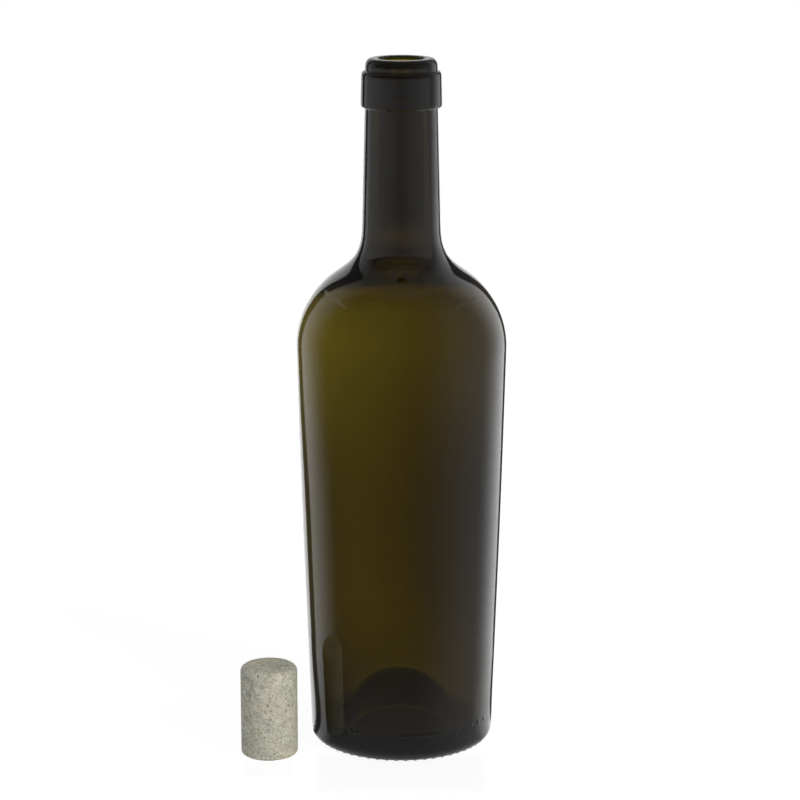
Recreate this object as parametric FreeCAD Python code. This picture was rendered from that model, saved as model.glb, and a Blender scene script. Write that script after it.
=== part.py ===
import FreeCAD, Part
import math
import os

# Wine bottle, 75 cl, with a tapered body, and the cork that was drawn from it.
# The cork stands beside the bottle. Millimetres, +Z up, -Y to the front.
# The origin is the centre of the ring that the bottle stands on.

# ---- bottle, outside ----
HEIGHT = 285.0            # standing ring to the mouth
HEEL_R = 38.0             # where the heel meets the body
HEEL_Z = 4.0
RING_INSET = 3.3          # heel in to the flat standing ring
RING_WIDTH = 1.4          # flat standing ring, across
SHOULDER_R = 43.2         # where the body ends and the shoulder starts
BODY_BULGE = 0.38         # how far the body's wall bows out of a straight line
TURN_IN = 4.6             # shoulder in to where it stops rounding over
TURN_UP = 18.7            # shoulder up to the same place
TURN_DEG = 28.9           # slope of the shoulder there, from the vertical
SWEEP_UP = 32.7           # height of the sweep from there to the neck
NECK_R = 15.96            # foot of the neck
NECK_LENGTH = 47.5        # foot of the neck up to the string ring
NECK_TOP_R = 14.75        # neck just under the string ring
SHOULDER_PULL = 6.6       # handle of the rounded upper shoulder
SWEEP_PULL = 20.9         # handle of the sweep into the neck

# ---- bottle, finish ----
LIP_HEIGHT = 5.0          # string ring's top up to the mouth
BAND_HEIGHT = 14.8        # string ring
BAND_PROUD = 1.7          # string ring's foot out from the neck
BAND_DRAFT = 0.3          # string ring's top in from its foot
BAND_FOOT_ROUND = 1.3
BAND_TOP_ROUND = 1.8
LIP_R = 14.6
LIP_ROUND_R = 2.4         # the lip's outer rounding, across
LIP_ROUND_Z = 3.4         # the lip's outer rounding, along
MOUTH_ROUND = 0.9         # inner edge of the mouth
BORE_R = 9.25
BORE_OPENS = 0.35         # how much wider the bore is where the cork's foot was
NECK_OPENS = 0.95         # how much wider the neck is inside, at its foot
NECK_IN_DROP = 5.2        # neck's foot, inside, below its foot outside

# ---- bottle, inside ----
WALL_HEEL = 4.9
WALL_SHOULDER = 4.1
FLOOR_CORNER_R = 4.9      # the floor's corner, across
FLOOR_CORNER_Z = 6.3      # the floor's corner, up
TROUGH_Z = 6.2            # lowest circle of the floor, round the punt
FLANK_IN = 4.6            # trough in to the punt's inner flank
FLANK_UP = 2.0
PUNT_TOP_Z = 27.4         # top of the punt, inside
PUNT_GLASS = 4.4          # glass at the top of the punt
PUNT_WALL = 4.2           # glass at the punt's flank, across
PUNT_SOLE_Z = 7.2         # underside of the punt, where its flare starts
SOLE_EDGE_IN = 1.9        # standing ring in to where the flare meets it
SOLE_EDGE_Z = 1.7

# ---- small relief of the mould ----
KNURLS = 57               # short ribs round the standing ring
KNURL_R = 0.95
KNURL_START = 0.6         # out from the standing ring's inner edge
KNURL_PAST = 0.9          # out past the standing ring's outer edge
KNURL_LIFT = 0.62         # axis of a rib above the floor
KNURL_SLANT = 28.0        # turn of a rib off the radius
DOT_R = 0.85
DOT_PROUD = 0.4
DOT_Z = 11.6
DOT_GROUPS = (            # first angle, step, count; 0 is the front
    (1.5, 4.4, 6),
    (37.0, 4.4, 1),
    (49.5, 7.0, 3),
    (-33.0, 4.4, 2),
)

# ---- cork ----
CORK_SQUEEZE = 2.5        # how much wider than the bore, in radius
CORK_LENGTH = 37.9
CORK_TOP_ROUND = 2.4
CORK_FOOT_ROUND = 1.5
BORE_SPARE = 7.1          # bore's straight part, longer than the cork
CORK_CLEAR = 10.4757      # heel to the wall of the cork that stands beside it
CORK_TURN = 24.7353       # direction of the cork, from -X towards the front, degrees

# ---- worked out from the sizes above ----
RING_OUT_R = HEEL_R - RING_INSET
RING_IN_R = RING_OUT_R - RING_WIDTH
BAND_TOP_Z = HEIGHT - LIP_HEIGHT
BAND_Z = BAND_TOP_Z - BAND_HEIGHT
NECK_Z = BAND_Z - NECK_LENGTH
TURN_R = SHOULDER_R - TURN_IN
TURN_Z = NECK_Z - SWEEP_UP
SHOULDER_Z = TURN_Z - TURN_UP
BAND_R = NECK_TOP_R + BAND_PROUD
BAND_TOP_R = BAND_R - BAND_DRAFT
BORE_DEEP_R = BORE_R + BORE_OPENS
BORE_DEEP_Z = HEIGHT - CORK_LENGTH - BORE_SPARE
NECK_IN_R = BORE_R + NECK_OPENS
NECK_IN_Z = NECK_Z - NECK_IN_DROP
TROUGH_R = HEEL_R - WALL_HEEL - FLOOR_CORNER_R
FLOOR_EDGE_Z = TROUGH_Z + FLOOR_CORNER_Z
PUNT_FLANK_R = TROUGH_R - FLANK_IN
PUNT_FLANK_Z = TROUGH_Z + FLANK_UP
PUNT_SOLE_R = PUNT_FLANK_R - PUNT_WALL
SOLE_EDGE_R = RING_IN_R - SOLE_EDGE_IN
KNURL_IN = RING_IN_R + KNURL_START
KNURL_OUT = RING_OUT_R + KNURL_PAST
CORK_R = BORE_R + CORK_SQUEEZE
CORK_AWAY = HEEL_R + CORK_CLEAR + CORK_R
CORK_X = -CORK_AWAY * math.cos(math.radians(CORK_TURN))
CORK_Y = -CORK_AWAY * math.sin(math.radians(CORK_TURN))

GLASS_G_PER_ML = 2.5
CORK_G_PER_ML = 0.27

QUARTER = 0.5523          # handle of a cubic that follows a quarter circle


def point(r, z):
    return FreeCAD.Vector(r, 0, z)


def line(a, b):
    return Part.LineSegment(point(*a), point(*b)).toShape()


def curve(a, a_dir, a_pull, b, b_dir, b_pull):
    """Cubic from a, leaving along a_dir, to b, arriving along b_dir."""
    ua = FreeCAD.Vector(a_dir[0], 0, a_dir[1]).normalize()
    ub = FreeCAD.Vector(b_dir[0], 0, b_dir[1]).normalize()
    bezier = Part.BezierCurve()
    bezier.setPoles([point(*a), point(*a) + ua * a_pull, point(*b) - ub * b_pull, point(*b)])
    return bezier.toShape()


def corner(a, b, out_first):
    """Quarter ellipse from a to b; out_first leaves along r, otherwise along z."""
    dr, dz = b[0] - a[0], b[1] - a[1]
    along_r = ((math.copysign(1, dr), 0), abs(dr) * QUARTER)
    along_z = ((0, math.copysign(1, dz)), abs(dz) * QUARTER)
    first, last = (along_r, along_z) if out_first else (along_z, along_r)
    return curve(a, first[0], first[1], b, last[0], last[1])


def body_wall(foot, top, bulge):
    """Arc up the body's wall, with its direction at the top."""
    mid = ((foot[0] + top[0]) / 2 + bulge, (foot[1] + top[1]) / 2)
    edge = Part.Arc(point(*foot), point(*mid), point(*top)).toShape()
    length = top[1] - foot[1]
    slope = (top[0] - foot[0] - 4 * bulge) / length
    return edge, (slope, 1.0)


def shoulder(start, start_dir, turn, neck):
    """Rounded shoulder, then the sweep that straightens into the neck."""
    slope = math.radians(TURN_DEG)
    turn_dir = (-math.sin(slope), math.cos(slope))
    upper = curve(start, start_dir, SHOULDER_PULL, turn, turn_dir, SHOULDER_PULL)
    sweep = curve(turn, turn_dir, SWEEP_PULL, neck, (0, 1), SWEEP_PULL)
    return [upper, sweep]


def outer_edges():
    """From the standing ring up to the mouth."""
    foot = (HEEL_R, HEEL_Z)
    top = (SHOULDER_R, SHOULDER_Z)
    wall, wall_dir = body_wall(foot, top, BODY_BULGE)
    edges = [corner((RING_OUT_R, 0), foot, True), wall]
    edges += shoulder(top, wall_dir, (TURN_R, TURN_Z), (NECK_R, NECK_Z))
    edges.append(line((NECK_R, NECK_Z), (NECK_TOP_R, BAND_Z)))
    band_foot = (BAND_R, BAND_Z + BAND_FOOT_ROUND)
    band_top = (BAND_TOP_R, BAND_TOP_Z - BAND_TOP_ROUND)
    edges.append(line((NECK_TOP_R, BAND_Z), (BAND_R - BAND_FOOT_ROUND, BAND_Z)))
    edges.append(corner((BAND_R - BAND_FOOT_ROUND, BAND_Z), band_foot, True))
    edges.append(line(band_foot, band_top))
    edges.append(corner(band_top, (LIP_R, BAND_TOP_Z), False))
    lip_side = (LIP_R, HEIGHT - LIP_ROUND_Z)
    edges.append(line((LIP_R, BAND_TOP_Z), lip_side))
    edges.append(corner(lip_side, (LIP_R - LIP_ROUND_R, HEIGHT), False))
    return edges


def inner_edges():
    """From the mouth down the bore, the neck and the body to the top of the punt."""
    mouth = (BORE_R, HEIGHT - MOUTH_ROUND)
    edges = [line((LIP_R - LIP_ROUND_R, HEIGHT), (BORE_R + MOUTH_ROUND, HEIGHT))]
    edges.append(corner((BORE_R + MOUTH_ROUND, HEIGHT), mouth, True))
    edges.append(line(mouth, (BORE_DEEP_R, BORE_DEEP_Z)))
    edges.append(line((BORE_DEEP_R, BORE_DEEP_Z), (NECK_IN_R, NECK_IN_Z)))
    foot = (HEEL_R - WALL_HEEL, FLOOR_EDGE_Z)
    top = (SHOULDER_R - WALL_SHOULDER, SHOULDER_Z)
    wall, wall_dir = body_wall(foot, top, BODY_BULGE)
    slope = math.radians(TURN_DEG)
    turn_r = TURN_R - WALL_SHOULDER * math.cos(slope)
    turn_z = TURN_Z - WALL_SHOULDER * math.sin(slope)
    edges += reversed(shoulder(top, wall_dir, (turn_r, turn_z), (NECK_IN_R, NECK_IN_Z)))
    edges.append(wall)
    trough = (TROUGH_R, TROUGH_Z)
    flank = (PUNT_FLANK_R, PUNT_FLANK_Z)
    edges.append(corner(foot, trough, False))
    flank_dir = (-0.25, 1.0)
    edges.append(curve(trough, (-1, 0), 3.2, flank, flank_dir, 1.6))
    rise = PUNT_TOP_Z - PUNT_FLANK_Z
    edges.append(curve(flank, flank_dir, rise * 0.6, (0, PUNT_TOP_Z), (-1, 0), rise * 0.68))
    return edges


def sole_edges():
    """The underside, from the top of the punt out to the standing ring."""
    apex = (0, PUNT_TOP_Z - PUNT_GLASS)
    sole = (PUNT_SOLE_R, PUNT_SOLE_Z)
    rim = (SOLE_EDGE_R, SOLE_EDGE_Z)
    rise = apex[1] - sole[1]
    sole_dir = (0.35, -1.0)
    rim_dir = (1.0, -0.42)
    edges = [curve(apex, (1, 0), rise * 0.68, sole, sole_dir, rise * 0.5)]
    edges.append(curve(sole, sole_dir, 4.6, rim, rim_dir, 5.5))
    edges.append(curve(rim, rim_dir, 1.0, (RING_IN_R, 0), (0.9, -1), 0.9))
    edges.append(line((RING_IN_R, 0), (RING_OUT_R, 0)))
    return edges


def turned(edges):
    """Solid of revolution about Z from a closed chain of edges."""
    wire = Part.Wire(Part.sortEdges(edges)[0])
    solid = Part.Face(wire).revolve(point(0, 0), FreeCAD.Vector(0, 0, 1), 360)
    if solid.Volume < 0:
        solid.reverse()
    return solid


def knurl():
    """One rib of the standing ring: a round-ended bar, flat where it stands."""
    bar = Part.makeCylinder(KNURL_R, KNURL_OUT - KNURL_IN, point(0, 0), FreeCAD.Vector(1, 0, 0))
    tip = Part.makeSphere(KNURL_R, point(KNURL_OUT - KNURL_IN, 0))
    rib = bar.fuse(tip)
    rib.rotate(point(0, 0), FreeCAD.Vector(0, 0, 1), KNURL_SLANT)
    rib.translate(FreeCAD.Vector(KNURL_IN, 0, KNURL_LIFT))
    block = Part.makeBox(8, 8, 4, FreeCAD.Vector(KNURL_IN - 2, -4, 0))
    return rib.common(block)


def dot():
    """One raised mould dot on the heel, at the front."""
    span = (DOT_Z - HEEL_Z) / (SHOULDER_Z - HEEL_Z)
    wall_r = HEEL_R + (SHOULDER_R - HEEL_R) * span + 4 * BODY_BULGE * span * (1 - span)
    depth = wall_r + DOT_PROUD - DOT_R
    return Part.makeSphere(DOT_R, FreeCAD.Vector(0, -depth, DOT_Z))


def ring_of(shape, angles):
    """Copies of a shape turned about Z."""
    copies = []
    for angle in angles:
        copy = shape.copy()
        copy.rotate(point(0, 0), FreeCAD.Vector(0, 0, 1), angle)
        copies.append(copy)
    return copies


def make_bottle():
    """The glass: one solid, hollow, open at the mouth."""
    axis = line((0, PUNT_TOP_Z), (0, PUNT_TOP_Z - PUNT_GLASS))
    glass = turned(outer_edges() + inner_edges() + [axis] + sole_edges())
    ribs = ring_of(knurl(), [360.0 * i / KNURLS for i in range(KNURLS)])
    angles = [a + step * i for a, step, count in DOT_GROUPS for i in range(count)]
    dots = ring_of(dot(), angles)
    glass = glass.fuse(ribs + dots)
    return glass.removeSplitter()


def make_hollow():
    """What the bottle holds when it is full to the brim, only to check the volume."""
    edges = inner_edges()[1:]
    edges.append(line((0, PUNT_TOP_Z), (0, HEIGHT)))
    edges.append(line((0, HEIGHT), (BORE_R + MOUTH_ROUND, HEIGHT)))
    return turned(edges)


def make_cork():
    """The cork: a cylinder with its two edges eased, standing on its end."""
    foot = (CORK_R, CORK_FOOT_ROUND)
    top = (CORK_R, CORK_LENGTH - CORK_TOP_ROUND)
    edges = [line((0, 0), (CORK_R - CORK_FOOT_ROUND, 0))]
    edges.append(corner((CORK_R - CORK_FOOT_ROUND, 0), foot, True))
    edges.append(line(foot, top))
    edges.append(corner(top, (CORK_R - CORK_TOP_ROUND, CORK_LENGTH), False))
    edges.append(line((CORK_R - CORK_TOP_ROUND, CORK_LENGTH), (0, CORK_LENGTH)))
    edges.append(line((0, CORK_LENGTH), (0, 0)))
    cork = turned(edges)
    cork.translate(FreeCAD.Vector(CORK_X, CORK_Y, 0))
    return cork


def one_solid(name, shape):
    solids = shape.Solids
    if len(solids) != 1 or not solids[0].isValid():
        raise ValueError(name + " is not one valid solid")
    return solids[0]


os.makedirs("parts", exist_ok=True)
parts = {"bottle": one_solid("bottle", make_bottle()), "cork": one_solid("cork", make_cork())}
for name, solid in parts.items():
    solid.exportStep("parts/" + name + ".step")
    box = solid.BoundBox
    print(name, "volume ml", round(solid.Volume / 1000, 1), "box", box)
print("full to the brim, ml", round(make_hollow().Volume / 1000, 1))
print("glass g", round(parts["bottle"].Volume / 1000 * GLASS_G_PER_ML, 1))
print("cork g", round(parts["cork"].Volume / 1000 * CORK_G_PER_ML, 1))
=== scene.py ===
# %% [markdown]
# # An empty wine bottle of dark green glass, with its cork
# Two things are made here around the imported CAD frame: the bottle, blown in
# dark olive glass, and the pressed cork that stands beside it. The origin is
# the centre of the ring that the bottle stands on, +Z is up and -Y is the front.

# %% Start
import math

import bpy
import numpy as np
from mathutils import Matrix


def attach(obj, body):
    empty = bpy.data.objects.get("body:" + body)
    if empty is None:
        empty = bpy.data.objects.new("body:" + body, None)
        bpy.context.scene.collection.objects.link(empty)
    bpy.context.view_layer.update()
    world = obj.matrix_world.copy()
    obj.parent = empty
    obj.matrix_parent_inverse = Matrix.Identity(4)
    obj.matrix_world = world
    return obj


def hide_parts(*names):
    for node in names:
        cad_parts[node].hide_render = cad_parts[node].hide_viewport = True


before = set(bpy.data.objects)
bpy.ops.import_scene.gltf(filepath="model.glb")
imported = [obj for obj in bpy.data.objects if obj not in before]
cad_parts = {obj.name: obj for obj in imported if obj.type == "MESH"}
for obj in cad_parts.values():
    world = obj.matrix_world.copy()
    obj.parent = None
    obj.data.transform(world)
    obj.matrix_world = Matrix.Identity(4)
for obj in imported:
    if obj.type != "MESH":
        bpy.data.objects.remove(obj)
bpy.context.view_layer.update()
MM = 0.001
bpy.context.scene.view_settings.view_transform = "Standard"

# %% [markdown]
# ## The camera
# A long lens a metre away keeps the bottle's sides nearly parallel, as a
# product studio would. It looks a little down, so that the mouth and the
# standing ring both read as thin ellipses.

# %% Camera
CAMERA_BACK = 1063.9 * MM
CAMERA_UP = 397.1 * MM
CAMERA_SIDE = -0.56 * MM
CAMERA_PITCH = 13.367
LENS = 119.32

camera_data = bpy.data.cameras.new("camera")
camera_data.lens = LENS
camera_data.sensor_width = 36.0
camera_data.clip_start = 0.05
camera_data.clip_end = 60.0
camera = bpy.data.objects.new("camera", camera_data)
camera.location = (CAMERA_SIDE, -CAMERA_BACK, CAMERA_UP)
camera.rotation_euler = (math.radians(90.0 - CAMERA_PITCH), 0.0, 0.0)
bpy.context.collection.objects.link(camera)
bpy.context.scene.camera = camera
print("camera at", [round(v, 4) for v in camera.location])

# %% [markdown]
# ## The bottle's outline
# A bottle is a solid of revolution, so its whole form lives in one line: from
# the top of the punt's underside, out to the standing ring, up the outside to
# the mouth, and down the inside to the top of the punt again. Each stretch is
# a short cubic between two named points. One closed line gives one closed
# skin with a true wall between its two sides, which glass needs: light bends
# at each skin and is coloured by the glass between them.

# %% Pieces of an outline
QUARTER = 0.5523


def cubic(a, a_dir, a_pull, b, b_dir, b_pull, count):
    """Points a(1-t)^3 + 3p(1-t)^2 t + 3q(1-t)t^2 + b t^3, with the two inner
    poles p and q set off from the ends along the end directions."""
    a, b = np.array(a, float), np.array(b, float)
    ua = np.array(a_dir, float) / np.hypot(*a_dir)
    ub = np.array(b_dir, float) / np.hypot(*b_dir)
    t = np.linspace(0.0, 1.0, count + 1)[:-1, None]
    p, q = a + ua * a_pull, b - ub * b_pull
    return a * (1 - t) ** 3 + 3 * p * (1 - t) ** 2 * t + 3 * q * (1 - t) * t**2 + b * t**3


def eased(a, b, out_first, count):
    """A quarter of an ellipse from a to b, leaving along r or along z."""
    dr, dz = b[0] - a[0], b[1] - a[1]
    along_r = ((dr, 0.0), abs(dr) * QUARTER)
    along_z = ((0.0, dz), abs(dz) * QUARTER)
    first, last = (along_r, along_z) if out_first else (along_z, along_r)
    return cubic(a, *first, b, *last, count)


def straight(a, b, count):
    """Points a + (b - a) t."""
    t = np.linspace(0.0, 1.0, count + 1)[:-1, None]
    return np.array(a, float) * (1 - t) + np.array(b, float) * t


def bowed(foot, top, bulge, count):
    """A straight wall bowed by the parabola 4 t (1 - t) times the bulge."""
    wall = straight(foot, top, count)
    t = np.linspace(0.0, 1.0, count + 1)[:-1]
    wall[:, 0] += 4.0 * bulge * t * (1.0 - t)
    return wall


# %% Sizes of the bottle, mm
HEIGHT = 285.0
HEEL = (38.0, 4.0)
RING_OUT_R, RING_IN_R = 34.7, 33.3
SHOULDER = (43.2, 166.3)
BULGE = 0.38
TURN = (38.6, 185.0)
TURN_SLOPE = math.radians(28.9)
NECK = (15.96, 217.7)
NECK_TOP_R = 14.75
SHOULDER_PULL, SWEEP_PULL = 6.6, 20.9
BAND_Z, BAND_TOP_Z = 265.2, 280.0
BAND_R, BAND_TOP_R = 16.45, 16.15
BAND_FOOT_ROUND, BAND_TOP_ROUND = 1.3, 1.8
LIP_R, LIP_ROUND_R, LIP_ROUND_Z = 14.6, 2.4, 3.4
BORE_R, MOUTH_ROUND = 9.25, 0.9
BORE_DEEP = (9.6, 240.0)
NECK_IN = (10.2, 212.5)
WALL_HEEL, WALL_SHOULDER = 4.9, 4.1
FLOOR_EDGE = (HEEL[0] - WALL_HEEL, 12.5)
TROUGH = (28.2, 6.2)
FLANK = (23.6, 8.2)
PUNT_TOP, PUNT_GLASS = 27.4, 4.4
SOLE = (19.4, 7.2)
SOLE_EDGE = (31.4, 1.7)


# %% The closed outline
def wall_slope(foot, top):
    """Direction of a bowed wall at its top end."""
    return ((top[0] - foot[0] - 4.0 * BULGE) / (top[1] - foot[1]), 1.0)


def shoulder_line(start, start_dir, turn, neck, count):
    """The rounded shoulder, then the sweep that straightens into the neck."""
    turn_dir = (-math.sin(TURN_SLOPE), math.cos(TURN_SLOPE))
    upper = cubic(start, start_dir, SHOULDER_PULL, turn, turn_dir, SHOULDER_PULL, count)
    sweep = cubic(turn, turn_dir, SWEEP_PULL, neck, (0, 1), SWEEP_PULL, count)
    return np.vstack([upper, sweep])


def sole_line():
    """Underside: the punt's dome, its flare and the curve down to the standing ring."""
    apex = (0.0, PUNT_TOP - PUNT_GLASS)
    rise = apex[1] - SOLE[1]
    dome = cubic(apex, (1, 0), rise * 0.68, SOLE, (0.35, -1), rise * 0.5, 14)
    flare = cubic(SOLE, (0.35, -1), 4.6, SOLE_EDGE, (1, -0.42), 5.5, 8)
    inner = cubic(SOLE_EDGE, (1, -0.42), 1.0, (RING_IN_R, 0), (0.9, -1), 0.9, 4)
    return np.vstack([dome[1:], flare, inner])


def foot_line():
    """The standing ring and the heel that curves up into the body."""
    ring = straight((RING_IN_R, 0), (RING_OUT_R, 0), 5)
    heel = eased((RING_OUT_R, 0), HEEL, True, 20)
    return np.vstack([ring, heel])


def outer_line(wall_foot, count):
    """The body above the dots, the shoulder, the neck and the finish."""
    wall = bowed(HEEL, SHOULDER, BULGE, 240)
    wall = wall[wall[:, 1] > wall_foot]
    keep = np.linspace(0, len(wall) - 1, count).astype(int)
    rise = shoulder_line(SHOULDER, wall_slope(HEEL, SHOULDER), TURN, NECK, 15)
    neck = straight(NECK, (NECK_TOP_R, BAND_Z), 8)
    under = straight((NECK_TOP_R, BAND_Z), (BAND_R - BAND_FOOT_ROUND, BAND_Z), 2)
    foot = eased((BAND_R - BAND_FOOT_ROUND, BAND_Z), (BAND_R, BAND_Z + BAND_FOOT_ROUND), True, 6)
    band_top = (BAND_TOP_R, BAND_TOP_Z - BAND_TOP_ROUND)
    band = straight((BAND_R, BAND_Z + BAND_FOOT_ROUND), band_top, 4)
    step = eased(band_top, (LIP_R, BAND_TOP_Z), False, 7)
    side = straight((LIP_R, BAND_TOP_Z), (LIP_R, HEIGHT - LIP_ROUND_Z), 3)
    lip = eased((LIP_R, HEIGHT - LIP_ROUND_Z), (LIP_R - LIP_ROUND_R, HEIGHT), False, 8)
    return np.vstack([wall[keep], rise, neck, under, foot, band, step, side, lip])


def inner_line():
    """From the mouth down the bore, the body and the floor to the punt's top."""
    flat = straight((LIP_R - LIP_ROUND_R, HEIGHT), (BORE_R + MOUTH_ROUND, HEIGHT), 3)
    edge = eased((BORE_R + MOUTH_ROUND, HEIGHT), (BORE_R, HEIGHT - MOUTH_ROUND), True, 6)
    bore = straight((BORE_R, HEIGHT - MOUTH_ROUND), BORE_DEEP, 8)
    neck = straight(BORE_DEEP, NECK_IN, 6)
    top = (SHOULDER[0] - WALL_SHOULDER, SHOULDER[1])
    turn = (TURN[0] - WALL_SHOULDER * math.cos(TURN_SLOPE),
            TURN[1] - WALL_SHOULDER * math.sin(TURN_SLOPE))
    rise = shoulder_line(top, wall_slope(FLOOR_EDGE, top), turn, NECK_IN, 14)
    wall = bowed(FLOOR_EDGE, top, BULGE, 24)
    down = np.vstack([wall, rise, np.array([NECK_IN])])[::-1][1:-1]
    corner = eased(FLOOR_EDGE, TROUGH, False, 8)
    trough = cubic(TROUGH, (-1, 0), 3.2, FLANK, (-0.25, 1), 1.6, 5)
    lift = PUNT_TOP - FLANK[1]
    dome = cubic(FLANK, (-0.25, 1), lift * 0.6, (0, PUNT_TOP), (-1, 0), lift * 0.68, 14)
    return np.vstack([flat, edge, bore, neck, down, corner, trough, dome])


outline_check = np.vstack([sole_line(), foot_line(), outer_line(16.0, 20), inner_line()])
print("outline rows:", len(outline_check), "widest r:", outline_check[:, 0].max())

# %% [markdown]
# ## From the outline to a skin of glass
# Turning the outline gives rings of points. The standing ring and the heel
# carry small relief, so they get twice as many points in each turn as the
# rest, and one row of threes and fours joins a fine ring to a coarse one.
# The relief is real shape, not bump: ribs that grip the line when the hot
# bottle is set down, and the plain dots that number a mould.

# %% Rings of points and the faces between them
FINE = 456
COARSE = 228
SHARP = math.radians(12.0)


def turn_rows(rows, columns):
    """Radius, angle and height of every point: each row (r, z) at even angles a."""
    a = np.arange(columns) * (2.0 * np.pi / columns) - np.pi / 2.0
    r = np.repeat(rows[:, :1], columns, axis=1)
    z = np.repeat(rows[:, 1:], columns, axis=1)
    return r, np.broadcast_to(a, r.shape), z


def held(line):
    """The line with a row 0.1 mm from each sharp corner on every long span, so
    that smooth shading bends the light only where the glass itself bends."""
    step = np.diff(line, axis=0)
    length = np.hypot(step[:, 0], step[:, 1])
    near = np.minimum(0.1 / np.maximum(length, 1e-9), 0.5)[:, None]
    heading = np.unwrap(np.arctan2(step[:, 1], step[:, 0]))
    corner = np.concatenate([[False], np.abs(np.diff(heading)) > SHARP, [False]])
    kept = length > 0.6
    rows = np.stack([line[:-1], line[:-1] + step * near, line[1:] - step * near], axis=1)
    use = np.stack([np.ones(len(step), bool), kept & corner[:-1], kept & corner[1:]], axis=1)
    return np.vstack([rows[use], line[-1:]])


def to_points(r, a, z):
    """x = r cos a, y = r sin a, in metres, one row after the other."""
    return np.stack([r * np.cos(a), r * np.sin(a), z], axis=-1).reshape(-1, 3) * MM


def between_even(first, rows, columns):
    """Fours between each row and the next, counted from point number first."""
    i = np.arange(rows - 1)[:, None] * columns + first
    j = np.arange(columns)[None, :]
    k = (j + 1) % columns
    return np.stack([i + j, i + k, i + k + columns, i + j + columns], axis=-1).reshape(-1, 4)


def between_uneven(low, low_count, high, high_count):
    """Joins a ring to one with twice or half its points: a three and a four each."""
    j = np.arange(min(low_count, high_count))
    k = (j + 1) % len(j)
    if high_count > low_count:
        threes = [low + j, high + 2 * j + 1, high + 2 * j]
        fours = [low + j, low + k, high + (2 * j + 2) % high_count, high + 2 * j + 1]
    else:
        threes = [low + 2 * j + 1, low + (2 * j + 2) % low_count, high + k]
        fours = [low + 2 * j, low + 2 * j + 1, high + k, high + j]
    return np.stack(threes, axis=-1), np.stack(fours, axis=-1)


def fan(pole, ring, count, upward):
    """Threes from a pole to its ring; upward when the ring comes after the pole."""
    j = np.arange(count)
    k = (j + 1) % count
    pole = np.full(count, pole)
    order = [pole, ring + k, ring + j] if upward else [ring + j, ring + k, pole]
    return np.stack(order, axis=-1)


def make_skin(name, points, faces):
    """Puts whole arrays of points and faces into a smooth-shaded mesh object."""
    mesh = bpy.data.meshes.new(name)
    sizes = np.concatenate([np.full(len(f), f.shape[1]) for f in faces])
    corners = np.concatenate([f.ravel() for f in faces])
    mesh.vertices.add(len(points))
    mesh.vertices.foreach_set("co", points.astype(np.float32).ravel())
    mesh.loops.add(len(corners))
    mesh.loops.foreach_set("vertex_index", corners.astype(np.int32))
    mesh.polygons.add(len(sizes))
    starts = np.concatenate([[0], np.cumsum(sizes)[:-1]])
    mesh.polygons.foreach_set("loop_start", starts.astype(np.int32))
    mesh.polygons.foreach_set("use_smooth", np.ones(len(sizes), bool))
    mesh.update(calc_edges=True)
    mesh.validate()
    piece = bpy.data.objects.new(name, mesh)
    bpy.context.collection.objects.link(piece)
    triangles = int((sizes - 2).sum())
    print(name, "points:", len(points), "triangles:", triangles)
    return piece


# %% Ribs round the standing ring
RIBS = 57
RIB_R = 0.95
RIB_IN, RIB_OUT = 33.9, 35.6
RIB_LIFT = 0.62
RIB_SLANT = math.radians(28.0)


def ribbed(r, a, z):
    """Heights lowered to the underside of slanted round-ended bars: a bar's
    underside is lift - sqrt(R^2 - d^2), d being the distance to its axis line."""
    pitch = 2.0 * np.pi / RIBS
    lean = np.clip(r - RIB_IN, 0.0, 3.0) * math.tan(RIB_SLANT) / r
    nearest = np.round((a - lean) / pitch) * pitch
    x = r * np.cos(a - nearest) - RIB_IN
    y = r * np.sin(a - nearest)
    along = x * math.cos(RIB_SLANT) + y * math.sin(RIB_SLANT)
    across = y * math.cos(RIB_SLANT) - x * math.sin(RIB_SLANT)
    past_end = np.maximum(along - (RIB_OUT - RIB_IN), 0.0)
    d2 = across**2 + past_end**2
    under = RIB_LIFT - np.sqrt(np.maximum(RIB_R**2 - d2, 0.0))
    under = np.where((d2 < RIB_R**2) & (along > 0.0), np.maximum(under, 0.0), z)
    return np.where(r > RING_IN_R + 0.2, np.minimum(z, under), z)


# %% Dots on the heel
DOT_R, DOT_PROUD, DOT_Z = 0.85, 0.4, 11.6
DOT_GROUPS = ((1.5, 4.4, 6), (37.0, 4.4, 1), (49.5, 7.0, 3), (-33.0, 4.4, 2))


def dotted(r, a, z):
    """Radii raised to r + proud - R + sqrt(R^2 - d^2) within each dot."""
    raised = r.copy()
    for begin, step, count in DOT_GROUPS:
        for k in range(count):
            centre = math.radians(begin + step * k - 90.0)
            side = r * np.sin(a - centre)
            d2 = side**2 + (z - DOT_Z) ** 2 + np.where(np.cos(a - centre) > 0, 0.0, 99.0)
            cap = r + DOT_PROUD - DOT_R + np.sqrt(np.maximum(DOT_R**2 - d2, 0.0))
            raised = np.where(d2 < DOT_R**2, np.maximum(raised, cap), raised)
    return raised


# %% Unevenness of blown glass
def ramp(v, low, high):
    """Smooth step 3t^2 - 2t^3 from 0 at low to 1 at high."""
    t = np.clip((v - low) / (high - low), 0.0, 1.0)
    return t * t * (3.0 - 2.0 * t)


THIN_SIDE = math.radians(182.0)
THIN_BY = 1.05
SETTLED_BY = 0.65
SETTLED_Z = 102.0


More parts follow.
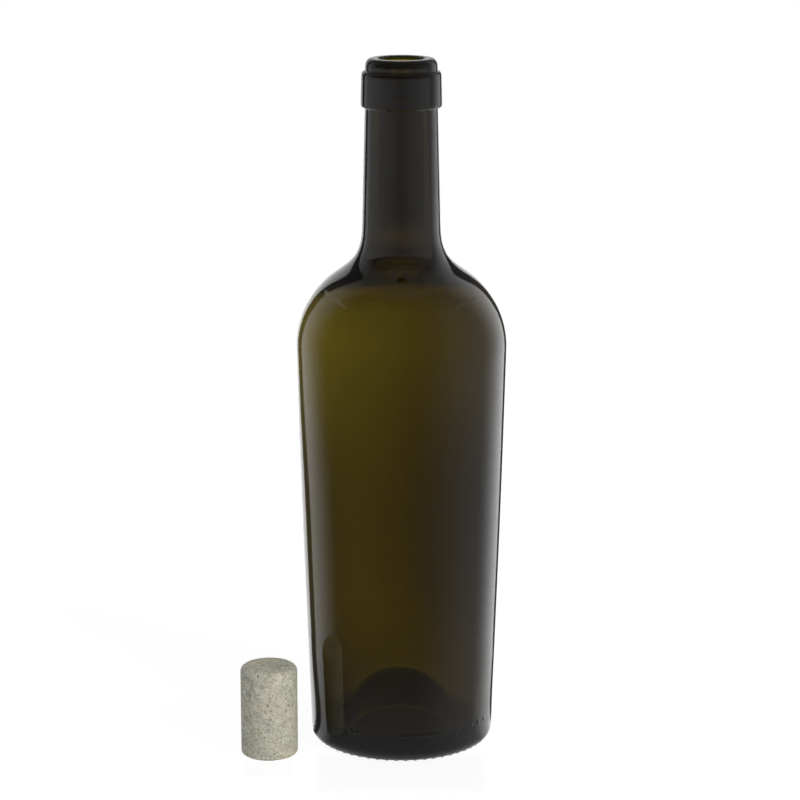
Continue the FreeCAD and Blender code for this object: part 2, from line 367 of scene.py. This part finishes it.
def uneven_inside(r, a, z):
    """The hollow sits off the axis and wavers, as a blown wall does: a few slow
    waves in angle and height, gone at the bore, where a plunger formed it. The
    wall is thicker in a band half-way up, where the glass settled before it
    was blown out."""
    body = ramp(z, 16.0, 60.0) * (1.0 - ramp(z, 178.0, 206.0))
    wave = THIN_BY * np.cos(a - THIN_SIDE)
    wave -= SETTLED_BY * (1.0 + 0.5 * np.cos(a)) * np.exp(-((z - SETTLED_Z) / 38.0) ** 2)
    wave += 0.14 * ramp(z, 120.0, 150.0)
    wave += 0.40 * ramp(z, 110.0, 150.0) * np.cos(2.0 * a)
    wave += 0.09 * np.cos(3.0 * a - 0.6 - z / 48.0)
    wave += 0.06 * np.cos(5.0 * a + 2.1 + z / 90.0)
    wave += 0.03 * np.cos(9.0 * a + 0.4 - z / 60.0)
    return r + body * wave


def uneven_outside(r, a, z):
    """Waves of a few hundredths of a millimetre, as a cold mould leaves."""
    body = ramp(z, 14.0, 40.0) * (1.0 - ramp(z, 160.0, 200.0))
    wave = 0.020 * np.cos(4.0 * a + 1.0 + z / 45.0)
    wave += 0.004 * np.cos(11.0 * a - z / 30.0) + 0.006 * np.cos(z / 16.0 + 2.0 * a)
    return r - body * (0.05 - wave)


# %% The bottle
def bottle_skin():
    """Stacks the zones from the punt's underside round to its top."""
    sole = sole_line()
    foot = foot_line()
    heel_wall = bowed(HEEL, SHOULDER, BULGE, 240)
    dots_top = 16.2
    low_wall = heel_wall[heel_wall[:, 1] <= dots_top]
    fine_rows = np.vstack([foot, np.stack([
        np.interp(np.arange(HEEL[1], dots_top, 0.34), low_wall[:, 1], low_wall[:, 0]),
        np.arange(HEEL[1], dots_top, 0.34)], axis=-1)])
    zones = []
    r, a, z = turn_rows(sole, COARSE)
    zones.append((r, a, z))
    r, a, z = turn_rows(fine_rows, FINE)
    z = ribbed(r, a, z)
    zones.append((dotted(r, a, z), a, z))
    r, a, z = turn_rows(held(outer_line(dots_top, 36)), COARSE)
    zones.append((uneven_outside(r, a, z), a, z))
    r, a, z = turn_rows(held(inner_line()), COARSE)
    zones.append((uneven_inside(r, a, z), a, z))

    points = [np.array([[0.0, 0.0, (PUNT_TOP - PUNT_GLASS) * MM]])]
    faces = []
    first, last_ring, last_count = 1, None, None
    for r, a, z in zones:
        rows, columns = r.shape
        if last_ring is None:
            faces.append(fan(0, first, columns, True))
        elif last_count == columns:
            j = np.arange(columns)
            k = (j + 1) % columns
            faces.append(np.stack([last_ring + j, last_ring + k, first + k, first + j], axis=-1))
        else:
            faces.extend(between_uneven(last_ring, last_count, first, columns))
        faces.append(between_even(first, rows, columns))
        points.append(to_points(r, a, z))
        last_ring, last_count = first + (rows - 1) * columns, columns
        first += rows * columns
    points.append(np.array([[0.0, 0.0, PUNT_TOP * MM]]))
    faces.append(fan(first, last_ring, last_count, False))
    return make_skin("glass_bottle", np.vstack(points), faces)


bottle = bottle_skin()
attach(bottle, "root")
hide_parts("bottle")

# %% [markdown]
# ## Shader maths as Python
# A finish is a small graph of nodes. Wrapping a socket in a class lets the
# graph be written as sums and products, which are easier to read and change.

# %% Sockets as values
class Wire:
    """One output socket; arithmetic on it adds Math nodes to its tree."""

    def __init__(self, finish, socket):
        self.finish, self.socket = finish, socket

    def math(self, operation, first, second=0.0):
        return self.finish.node("ShaderNodeMath", {"operation": operation}, {0: first, 1: second})

    def __add__(self, other):
        return self.math("ADD", self, other)

    __radd__ = __add__

    def __sub__(self, other):
        return self.math("SUBTRACT", self, other)

    def __rsub__(self, other):
        return self.math("SUBTRACT", other, self)

    def __mul__(self, other):
        return self.math("MULTIPLY", self, other)

    __rmul__ = __mul__

    def size(self):
        """The value without its sign."""
        return self.math("ABSOLUTE", self)

    def over(self, low, high):
        """0 below low, 1 above high, smooth between."""
        settings = {"interpolation_type": "SMOOTHSTEP"}
        inputs = {"Value": self, "From Min": low, "From Max": high}
        return self.finish.node("ShaderNodeMapRange", settings, inputs, "Result")


class Finish:
    """A node tree of a material or the world, filled through one method."""

    def __init__(self, owner):
        owner.use_nodes = True
        self.tree = owner.node_tree
        self.tree.nodes.clear()

    def node(self, kind, settings=None, inputs=None, output=0):
        """Adds a node, sets its settings first, then its values and links."""
        made = self.tree.nodes.new(kind)
        for key, value in (settings or {}).items():
            if key == "stops":
                ramp_of = made.color_ramp
                for place, colour in value[2:]:
                    ramp_of.elements.new(place).color = (*colour, 1.0)
                for element, (place, colour) in zip(ramp_of.elements, sorted(value)):
                    element.position, element.color = place, (*colour, 1.0)
            else:
                setattr(made, key, value)
        for key, value in (inputs or {}).items():
            if isinstance(value, Wire):
                self.tree.links.new(value.socket, made.inputs[key])
            else:
                made.inputs[key].default_value = value
        return Wire(self, made.outputs[output]) if made.outputs else made

    def mix(self, factor, first, second, blend="MIX"):
        """Mixes two colours; factor is 0 for the first and 1 for the second."""
        settings = {"data_type": "RGBA", "blend_type": blend}
        return self.node("ShaderNodeMix", settings, {0: factor, 6: first, 7: second}, 2)


def new_finish(name):
    material = bpy.data.materials.new(name)
    return material, Finish(material)


# %% [markdown]
# ## Dark olive glass
# The colour of bottle glass isn't on its surface: light is absorbed on its
# way through, blue most and green least, so a thick wall is darker than a
# thin one. A clear Principled glass with a Volume Absorption inside does that,
# and the wall's own thickness then draws the darker neck, heel and punt.

# %% Bottle glass
GLASS_TINT = (0.657, 0.614, 0.05, 1.0)
GLASS_DENSITY = 945.0
GLASS_IOR = 1.52

glass, finish = new_finish("olive_bottle_glass")
place = finish.node("ShaderNodeTexCoord", output="Object")
ripple = finish.node("ShaderNodeTexNoise", {}, {"Vector": place, "Scale": 40.0, "Detail": 0.0}, "Fac")
relief = finish.node("ShaderNodeBump", {}, {"Strength": 0.05, "Distance": 0.0004, "Height": ripple})
surface = finish.node("ShaderNodeBsdfPrincipled", {}, {
    "Base Color": (1.0, 1.0, 1.0, 1.0), "Roughness": 0.0, "IOR": GLASS_IOR,
    "Transmission Weight": 1.0, "Normal": relief})
depth = finish.node("ShaderNodeVolumeAbsorption", {}, {"Color": GLASS_TINT, "Density": GLASS_DENSITY})
finish.node("ShaderNodeOutputMaterial", {}, {"Surface": surface, "Volume": depth})
bottle.data.materials.append(glass)
left_after_4_mm = [round(math.exp(-(1 - c) * GLASS_DENSITY * 0.004), 3) for c in GLASS_TINT[:3]]
print("light left after 4 mm:", left_after_4_mm)

# %% [markdown]
# ## The cork
# A pressed cork is made of small cork grains bound in a mould and ground to
# size. Its wall shows grains of slightly different tans, fine dark specks of
# bark, and pits where a grain has come away. The cylinder, its eased ends and
# its pits are shape; the grains are colour.

# %% Cork sizes, mm
CORK_R = 11.75
CORK_LENGTH = 37.9
CORK_TOP_ROUND, CORK_FOOT_ROUND = 2.4, 1.5
CORK_X, CORK_Y = -54.7, -25.2
CORK_COLUMNS = 300


# %% The cork's skin
def even_rows(line, step):
    """The same line with points at even steps along its length."""
    gaps = np.hypot(*np.diff(line, axis=0).T)
    length = np.concatenate([[0.0], np.cumsum(gaps)])
    at = np.linspace(0.0, length[-1], int(length[-1] / step) + 1)
    return np.stack([np.interp(at, length, line[:, k]) for k in (0, 1)], axis=-1)


def hashed(cells, salt):
    """A fixed number from 0 to 1 for each whole-number cell (i, j, k)."""
    i, j, k = (cells[..., n] for n in range(3))
    v = np.sin(i * 127.1 + j * 311.7 + k * 74.7 + salt * 53.3) * 43758.5453
    return v - np.floor(v)


def pits(points, size, share, salt):
    """Depth of round pits: one may sit in each cell of a cubic lattice, and its
    depth falls as (1 - (d / radius)^2) squared with the distance d."""
    cell = np.floor(points / size)
    depth = np.zeros(len(points))
    for step in np.ndindex(3, 3, 3):
        near = cell + np.array(step) - 1.0
        here = hashed(near, salt) < share
        centre = (near + np.stack([hashed(near, salt + n) for n in (1, 2, 3)], axis=-1)) * size
        radius = size * (0.25 + 0.45 * hashed(near, salt + 4))
        fall = np.clip(1.0 - ((points - centre) ** 2).sum(axis=-1) / radius**2, 0.0, 1.0)
        depth = np.maximum(depth, here * fall**2 * radius)
    return depth


def cork_skin():
    foot = (CORK_R, CORK_FOOT_ROUND)
    top = (CORK_R, CORK_LENGTH - CORK_TOP_ROUND)
    line = np.vstack([
        straight((0.02, 0), (CORK_R - CORK_FOOT_ROUND, 0), 30),
        eased((CORK_R - CORK_FOOT_ROUND, 0), foot, True, 10),
        straight(foot, top, 110),
        eased(top, (CORK_R - CORK_TOP_ROUND, CORK_LENGTH), False, 10),
        straight((CORK_R - CORK_TOP_ROUND, CORK_LENGTH), (0.02, CORK_LENGTH), 30),
        np.array([[0.02, CORK_LENGTH]])])
    rows = even_rows(line, 0.22)
    r, a, z = turn_rows(rows, CORK_COLUMNS)
    points = np.stack([r * np.cos(a), r * np.sin(a), z], axis=-1).reshape(-1, 3)
    slope = np.gradient(rows, axis=0)
    slope /= np.hypot(slope[:, 0], slope[:, 1])[:, None]
    out_r = np.repeat(slope[:, 1], CORK_COLUMNS)
    out_z = np.repeat(-slope[:, 0], CORK_COLUMNS)
    angle = a.reshape(-1)
    normal = np.stack([out_r * np.cos(angle), out_r * np.sin(angle), out_z], axis=-1)
    dip = 0.35 * pits(points, 1.5, 0.30, 1) + 0.3 * pits(points, 3.4, 0.06, 9)
    dip += 0.03 * np.sin(points @ np.array([5.1, 3.7, 4.3])) + 0.03
    standing = points[:, 2] < 0.02
    dip = np.where(standing, np.minimum(dip, 0.15), dip)
    points = points - normal * dip[:, None]
    points += np.array([CORK_X, CORK_Y, 0.0])
    count = len(rows)
    poles = np.array([[CORK_X, CORK_Y, 0.0], [CORK_X, CORK_Y, CORK_LENGTH - 0.03]])
    whole = np.vstack([poles[:1], points, poles[1:]]) * MM
    faces = [fan(0, 1, CORK_COLUMNS, True), between_even(1, count, CORK_COLUMNS),
             fan(len(whole) - 1, 1 + (count - 1) * CORK_COLUMNS, CORK_COLUMNS, False)]
    return make_skin("pressed_cork", whole, faces)


cork = cork_skin()
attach(cork, "root")
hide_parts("cork")

# %% Cork finish
GRAINS = ((0.0, (0.38, 0.355, 0.265)), (1.0, (0.74, 0.70, 0.55)),
          (0.25, (0.52, 0.49, 0.38)), (0.75, (0.63, 0.595, 0.465)))
BARK = (0.17, 0.15, 0.11, 1.0)

cork_material, finish = new_finish("pressed_cork_grain")
place = finish.node("ShaderNodeTexCoord", output="Object")
warp = finish.node("ShaderNodeTexNoise", {}, {"Vector": place, "Scale": 500.0, "Detail": 3.0}, "Color")
bent = finish.node("ShaderNodeMix", {"data_type": "VECTOR"}, {0: 0.0016, 4: place, 5: warp}, 1)


def granules(scale):
    """The tone of each grain, and the distance to the joint round it."""
    colour = finish.node("ShaderNodeTexVoronoi", {"feature": "F1"}, {"Vector": bent, "Scale": scale}, "Color")
    tone = finish.node("ShaderNodeSeparateColor", {}, {"Color": colour}, 0)
    edge = {"feature": "DISTANCE_TO_EDGE"}
    return tone, finish.node("ShaderNodeTexVoronoi", edge, {"Vector": bent, "Scale": scale}, "Distance")


large_tone, large_joint = granules(430.0)
small_tone, small_joint = granules(1150.0)
soft_inputs = {"Vector": place, "Scale": 120.0, "Detail": 4.0, "Roughness": 0.6}
soft = finish.node("ShaderNodeTexNoise", {}, soft_inputs, "Fac")
speck_inputs = {"Vector": place, "Scale": 1500.0, "Detail": 3.0, "Roughness": 0.6}
speck = finish.node("ShaderNodeTexNoise", {}, speck_inputs, "Fac")
tone = large_tone * 0.45 + small_tone * 0.55
tan = finish.node("ShaderNodeValToRGB", {"stops": GRAINS}, {"Fac": tone}, "Color")
cloud = finish.mix(soft.over(0.35, 0.7), (0.93, 0.95, 0.98, 1.0), (1.06, 1.04, 1.0, 1.0))
tan = finish.mix(1.0, tan, cloud, "MULTIPLY")
seam = (1.0 - large_joint.over(0.0, 0.05)) * 0.22 + (1.0 - small_joint.over(0.0, 0.07)) * 0.16
fleck_tone, _ = granules(800.0)
fleck_inputs = {"Vector": bent, "Scale": 800.0}
fleck_at = finish.node("ShaderNodeTexVoronoi", {"feature": "F1"}, fleck_inputs, "Distance")
fleck = (1.0 - fleck_at.over(0.15, 0.45)) * fleck_tone.over(0.69, 0.75)
dark = seam + speck.over(0.54, 0.68) * 0.55 + fleck * 0.75
tan = finish.mix(dark, tan, BARK)
bumpy = small_tone * 0.4 + speck * 0.8 - seam - fleck
relief = finish.node("ShaderNodeBump", {}, {"Strength": 0.5, "Distance": 0.00015, "Height": bumpy})
surface = finish.node("ShaderNodeBsdfPrincipled", {}, {
    "Base Color": tan, "Roughness": 0.85, "Specular IOR Level": 0.2, "Normal": relief})
finish.node("ShaderNodeOutputMaterial", {}, {"Surface": surface})
cork.data.materials.append(cork_material)

# %% [markdown]
# ## The studio
# Clear glass shows only what is round it. The bottle stands on a pale glossy
# floor in white surroundings, which light it from behind. Round it stands a
# light tent that only its gloss sees. The tent's dark strips draw the thin dark
# edge that sets the bottle off from the white.

# %% White surroundings
world = bpy.data.worlds.new("white_studio")
bpy.context.scene.world = world
finish = Finish(world)
FILL = 0.46


def seen_ray(finish):
    """1 for rays that show a background: to the camera, in gloss or through glass."""
    names = ("Is Camera Ray", "Is Glossy Ray", "Is Transmission Ray")
    camera_ray, glossy, through = (finish.node("ShaderNodeLightPath", output=name) for name in names)
    return camera_ray.math("MAXIMUM", camera_ray.math("MAXIMUM", camera_ray, glossy), through)


seen = seen_ray(finish)
light = finish.node("ShaderNodeBackground", {}, {"Color": (0.94, 0.99, 1.09, 1.0), "Strength": FILL})
white = finish.node("ShaderNodeBackground", {}, {"Color": (1.0, 1.0, 1.0, 1.0), "Strength": 1.0})
both = finish.node("ShaderNodeMixShader", {}, {0: seen, 1: light, 2: white})
finish.node("ShaderNodeOutputWorld", {}, {"Surface": both})

# %% Floor
FLOOR_HALF = 6.0
FLOOR_SHOWN = 0.86
FLOOR_GLOSS = 0.05
# Seen through glass the floor glows dimmer than it does to the camera, as painted shade, and nearly black
# under the bottle, as a painted shadow under the punt.
PAINTED_SHADOW_GLOW = 0.05
THROUGH = 0.92

floor_material, finish = new_finish("pale_floor")
place = finish.node("ShaderNodeTexCoord", output="Object")
x, y, _ = (finish.node("ShaderNodeSeparateXYZ", {}, {"Vector": place}, n) for n in "XYZ")
# Painted shadow: through glass, the floor's glow falls to a dark disc under the bottle.
through = finish.node("ShaderNodeLightPath", output="Is Transmission Ray")
distance = finish.node("ShaderNodeVectorMath", {"operation": "LENGTH"}, {"Vector": place}, "Value")
painted_shadow_under_bottle = 1.0 - distance.over(0.033, 0.041)
seen_through = THROUGH - painted_shadow_under_bottle * (THROUGH - PAINTED_SHADOW_GLOW)
strength = 1.09 - through * (1.09 - seen_through)
matt = finish.node("ShaderNodeBsdfDiffuse", {}, {"Color": (0.93, 0.93, 0.93, 1.0)})
plain = finish.node("ShaderNodeEmission", {}, {"Color": (1.0, 1.0, 1.0, 1.0), "Strength": strength})
shown = finish.node("ShaderNodeMixShader", {}, {0: seen_ray(finish) * FLOOR_SHOWN, 1: matt, 2: plain})
under_bottle = (1.0 - x.size().over(0.030, 0.042)) * (1.0 - (y + 0.05).size().over(0.012, 0.030))
cork_side = (x - CORK_X * MM).size().over(0.009, 0.013)
under_cork = (1.0 - cork_side) * (1.0 - (y + 0.044).size().over(0.006, 0.012))
gloss = (under_bottle + under_cork) * FLOOR_GLOSS
polish = finish.node("ShaderNodeBsdfGlossy", {}, {"Color": (1.0, 1.0, 1.0, 1.0), "Roughness": 0.12})
surface = finish.node("ShaderNodeMixShader", {}, {0: gloss, 1: shown, 2: polish})
finish.node("ShaderNodeOutputMaterial", {}, {"Surface": surface})
corners = np.array([[-1, -1, 0], [1, -1, 0], [1, 1, 0], [-1, 1, 0]], float) * FLOOR_HALF
corners[:, 2] = -0.0001
floor = make_skin("floor", corners, [np.array([[0, 1, 2, 3]])])
floor.data.materials.append(floor_material)

# %% [markdown]
# ## The light tent
# Gloss is a picture of the room, so the room is built: a drum of cloth whose
# brightness is a formula of the angle from the front and the height. It is made
# of a few lamps: a weak fill and a strong softbox on the right, a softbox on the
# left, and a dark strip behind each. All of them fade upwards.

# %% Light tent, seen only in gloss
TENT_R, TENT_TOP, TENT_CLOSE = 0.15, 0.60, 0.02
TENT_COLUMNS, TENT_FLOOR_RINGS, TENT_WALL_RINGS = 360, 27, 40
FRONT_LIGHT, STRIP_LIGHT, BACK_LIGHT = 0.12, 0.08, 1.4
FILL_RIGHT, SOFTBOX_RIGHT, SOFTBOX_LEFT = 0.4, 1.0, 0.85
STRIP_LEFT, STRIP_RIGHT = (124.0, 139.0), (138.0, 153.0)
STRIP_EDGE = 1.5
FADE, FADE_LOW, FADE_HIGH = 0.85, 0.10, 0.45
SIDE_PAINTED_SHADE, FRONT_GAIN = 0.4, 0.4
LEAN_LEFT, LEAN_RIGHT, LEAN_AT_FOOT = 75.0, 65.0, 8.0
FOOT_GLOW = 0.5
over_floor = np.linspace(TENT_CLOSE, TENT_R, TENT_FLOOR_RINGS)
up_wall = np.linspace(0.0, TENT_TOP, TENT_WALL_RINGS + 1)[1:]
tent_rows = np.vstack([
    np.stack([over_floor, np.zeros(TENT_FLOOR_RINGS)], axis=-1),
    np.stack([np.full(TENT_WALL_RINGS, TENT_R), up_wall], axis=-1)])


def strip(turned, ends):
    """1 between the two end angles and 0 outside, with soft edges; and 1 past
    the far end."""
    near, far = (ramp(turned, end - STRIP_EDGE, end + STRIP_EDGE) for end in ends)
    return near - far, far


def tent_light(angle, radius, height):
    """Luminance of one ring at angles from the front: the front, plus a smooth
    rise into each softbox, times a fade with the height. Over the floor, the
    cloth's edges lean to the front with the square of the way in."""
    over = (TENT_R - radius) / TENT_R
    lean = np.where(angle < 0.0, LEAN_LEFT, LEAN_RIGHT) * over**2
    lean = lean + LEAN_AT_FOOT * (angle < 0.0) * (1.0 - ramp(height, 0.06, 0.13))
    lean = lean * ramp(np.abs(angle), 40.0, 90.0)
    left, right = lean - angle, angle + lean
    fade = 1.0 - FADE * ramp(height, FADE_LOW, FADE_HIGH)
    sides = FILL_RIGHT * ramp(right, 10.0, 80.0) + SOFTBOX_RIGHT * ramp(right, 85.0, 125.0)
    sides = sides * (angle > 0.0) + SOFTBOX_LEFT * ramp(left, 75.0, 115.0) * (angle < 0.0)
    gain = FRONT_GAIN * over + FOOT_GLOW * ramp(over, 0.68, 0.78)
    gain = gain * (1.0 - ramp(np.abs(angle), 30.0, 90.0))
    # Over the floor the softboxes' light dims towards the bottle: painted shade for the bottle's shadow on
    # the floor, seen in gloss.
    lit = FRONT_LIGHT + gain + sides * fade * (1.0 - SIDE_PAINTED_SHADE * over)
    dark_left, back_left = strip(left * (angle < 0.0), STRIP_LEFT)
    dark_right, back_right = strip(right * (angle > 0.0), STRIP_RIGHT)
    dark, back = dark_left + dark_right, back_left + back_right
    return lit * (1.0 - dark - back) + STRIP_LIGHT * dark + BACK_LIGHT * fade * back


angle, radius = np.meshgrid(np.linspace(-180.0, 180.0, TENT_COLUMNS + 1), tent_rows[:, 0])
height = np.repeat(tent_rows[:, 1:], TENT_COLUMNS + 1, axis=1)
turned = np.radians(angle) - np.pi / 2.0
TENT_SINK = 0.00005
grid = np.stack([radius * np.cos(turned), radius * np.sin(turned), height - TENT_SINK],
                axis=-1).reshape(-1, 3)
wide = TENT_COLUMNS + 1
i = (np.arange(len(tent_rows) - 1)[:, None] * wide + np.arange(TENT_COLUMNS)[None]).reshape(-1)
tent = make_skin("light_tent", grid, [np.stack([i, i + wide, i + wide + 1, i + 1], axis=-1)])
layer = tent.data.attributes.new("luminance", "FLOAT", "POINT")
rings = [tent_light(angle[0], row[0], row[1]) for row in tent_rows]
layer.data.foreach_set("value", np.stack(rings).astype(np.float32).ravel())

tent_material, finish = new_finish("tent_cloth")
luminance = finish.node("ShaderNodeAttribute", {"attribute_name": "luminance"}, {}, "Fac")
outside = finish.node("ShaderNodeNewGeometry", output="Backfacing")
glow = finish.node("ShaderNodeEmission", {}, {"Color": (1.0, 1.0, 1.0, 1.0), "Strength": luminance})
clear = finish.node("ShaderNodeBsdfTransparent", {}, {"Color": (1.0, 1.0, 1.0, 1.0)})
cloth = finish.node("ShaderNodeMixShader", {}, {0: outside, 1: glow, 2: clear})
finish.node("ShaderNodeOutputMaterial", {}, {"Surface": cloth})
tent.data.materials.append(tent_material)

ROOF = 0.20
roof_ring = grid[-wide:-1]
roof = make_skin("tent_roof", np.vstack([roof_ring, [[0.0, 0.0, TENT_TOP]]]),
                 [fan(TENT_COLUMNS, 0, TENT_COLUMNS, True)])
roof_material, finish = new_finish("tent_roof_cloth")
glow = finish.node("ShaderNodeEmission", {}, {"Color": (1.0, 1.0, 1.0, 1.0), "Strength": ROOF})
finish.node("ShaderNodeOutputMaterial", {}, {"Surface": glow})
roof.data.materials.append(roof_material)

# %% [markdown]
# ## A card round the neck
# A dark neck in a dark tent would be black. A studio clips a pale card
# round it. This one is a cone that only the neck's gloss sees, and only from its
# inside, so the neck reads as an even grey while the shoulder stays dark. It is
# darkest in front and gets lighter to both sides with the sine of the angle.

# %% Neck card
COLLAR_LOW, COLLAR_HIGH = (0.045, 0.200), (0.1495, 0.300)
COLLAR_FRONT, COLLAR_SIDE = 0.30, 0.32
COLLAR_ROWS, COLLAR_COLUMNS = 21, 197
COLLAR_LEFT_END, COLLAR_RIGHT_END = -106.0, 90.0
collar_angle, collar_up = np.meshgrid(
    np.linspace(COLLAR_LEFT_END, COLLAR_RIGHT_END, COLLAR_COLUMNS), np.linspace(0.0, 1.0, COLLAR_ROWS))
collar_r = COLLAR_LOW[0] + (COLLAR_HIGH[0] - COLLAR_LOW[0]) * collar_up
collar_z = COLLAR_LOW[1] + (COLLAR_HIGH[1] - COLLAR_LOW[1]) * collar_up
turned = np.radians(collar_angle) - np.pi / 2.0
collar_points = np.stack([collar_r * np.cos(turned), collar_r * np.sin(turned), collar_z],
                         axis=-1).reshape(-1, 3)
wide = COLLAR_COLUMNS
i = (np.arange(COLLAR_ROWS - 1)[:, None] * wide + np.arange(wide - 1)[None]).reshape(-1)
collar = make_skin("neck_collar", collar_points, [np.stack([i, i + wide, i + wide + 1, i + 1], axis=-1)])
layer = collar.data.attributes.new("luminance", "FLOAT", "POINT")
collar_light = COLLAR_FRONT + COLLAR_SIDE * np.abs(np.sin(np.radians(collar_angle)))
layer.data.foreach_set("value", collar_light.astype(np.float32).ravel())
layer = collar.data.attributes.new("cover", "FLOAT", "POINT")
cover = ramp(collar_angle, COLLAR_LEFT_END, -98.0) * (1.0 - ramp(collar_angle, 80.0, COLLAR_RIGHT_END))
cover = cover * (1.0 - ramp(collar_up, 0.72, 0.98))
layer.data.foreach_set("value", cover.astype(np.float32).ravel())
collar_material, finish = new_finish("collar_cloth")
luminance = finish.node("ShaderNodeAttribute", {"attribute_name": "luminance"}, {}, "Fac")
cover = finish.node("ShaderNodeAttribute", {"attribute_name": "cover"}, {}, "Fac")
outside = finish.node("ShaderNodeNewGeometry", output="Backfacing")
glow = finish.node("ShaderNodeEmission", {}, {"Color": (1.0, 1.0, 1.0, 1.0), "Strength": luminance})
clear = finish.node("ShaderNodeBsdfTransparent", {}, {"Color": (1.0, 1.0, 1.0, 1.0)})
cloth = finish.node("ShaderNodeMixShader", {}, {0: cover * (1.0 - outside), 1: clear, 2: glow})
finish.node("ShaderNodeOutputMaterial", {}, {"Surface": cloth})
collar.data.materials.append(collar_material)

# %% [markdown]
# ## A dark card behind the neck
# Seen through its glass, the neck would show the white behind it. A dark card
# there, called a flag, takes that away. It is seen only through glass, its foot
# is soft, and a notch leaves the back of the mouth lit.

# %% Flag behind the neck
FLAG = 0.08
FLAG_BACK, FLAG_HALF, FLAG_LOW, FLAG_HIGH = 60.0, 60.0, 190.0, 280.0
flag_points = np.array([[-FLAG_HALF, FLAG_BACK, FLAG_LOW], [FLAG_HALF, FLAG_BACK, FLAG_LOW],
                        [FLAG_HALF, FLAG_BACK, FLAG_HIGH], [-FLAG_HALF, FLAG_BACK, FLAG_HIGH]]) * MM
flag = make_skin("flag_behind_neck", flag_points, [np.array([[0, 1, 2, 3]])])
flag_material, finish = new_finish("dark_card")
place = finish.node("ShaderNodeTexCoord", output="Object")
x, _, z = (finish.node("ShaderNodeSeparateXYZ", {}, {"Vector": place}, n) for n in "XYZ")
foot = z.over(0.199, 0.213)
notch = z.over(0.2665, 0.2685) * (1.0 - x.size().over(0.0115, 0.0145))
glow = finish.node("ShaderNodeEmission", {}, {"Color": (0.9, 1.0, 1.1, 1.0), "Strength": FLAG})
clear = finish.node("ShaderNodeBsdfTransparent", {}, {"Color": (1.0, 1.0, 1.0, 1.0)})
card = finish.node("ShaderNodeMixShader", {}, {0: foot * (1.0 - notch), 1: clear, 2: glow})
finish.node("ShaderNodeOutputMaterial", {}, {"Surface": card})
flag.data.materials.append(flag_material)
for ray in ("camera", "diffuse", "glossy", "volume_scatter", "shadow"):
    setattr(flag, "visible_" + ray, False)

for cloth in (tent, roof, collar):
    cloth.visible_camera = False
    cloth.visible_diffuse = False
    cloth.visible_transmission = False
    cloth.visible_volume_scatter = False
    cloth.visible_shadow = False

# %% [markdown]
# ## The key lamp
# Cork is matt, so it needs light from one side to look round. A large square
# lamp at the front right gives it, a little warm. Glass doesn't show the lamp.

# %% Lamp
WARM = (1.0, 0.985, 0.94)


def softbox(name, where, aim, size, power):
    """A square area lamp at a point, turned to face another."""
    data = bpy.data.lights.new(name, "AREA")
    data.size, data.energy, data.color = size, power, WARM
    lamp = bpy.data.objects.new(name, data)
    lamp.location = where
    away = np.array(where) - np.array(aim)
    yaw = math.atan2(away[0], -away[1])
    tilt = math.atan2(math.hypot(away[0], away[1]), away[2])
    lamp.rotation_euler = (tilt, 0.0, yaw)
    lamp.visible_camera = lamp.visible_glossy = lamp.visible_transmission = False
    bpy.context.collection.objects.link(lamp)


softbox("key_right", (1.4, -1.45, 0.9), (0.0, 0.0, 0.05), 0.9, 26.0)
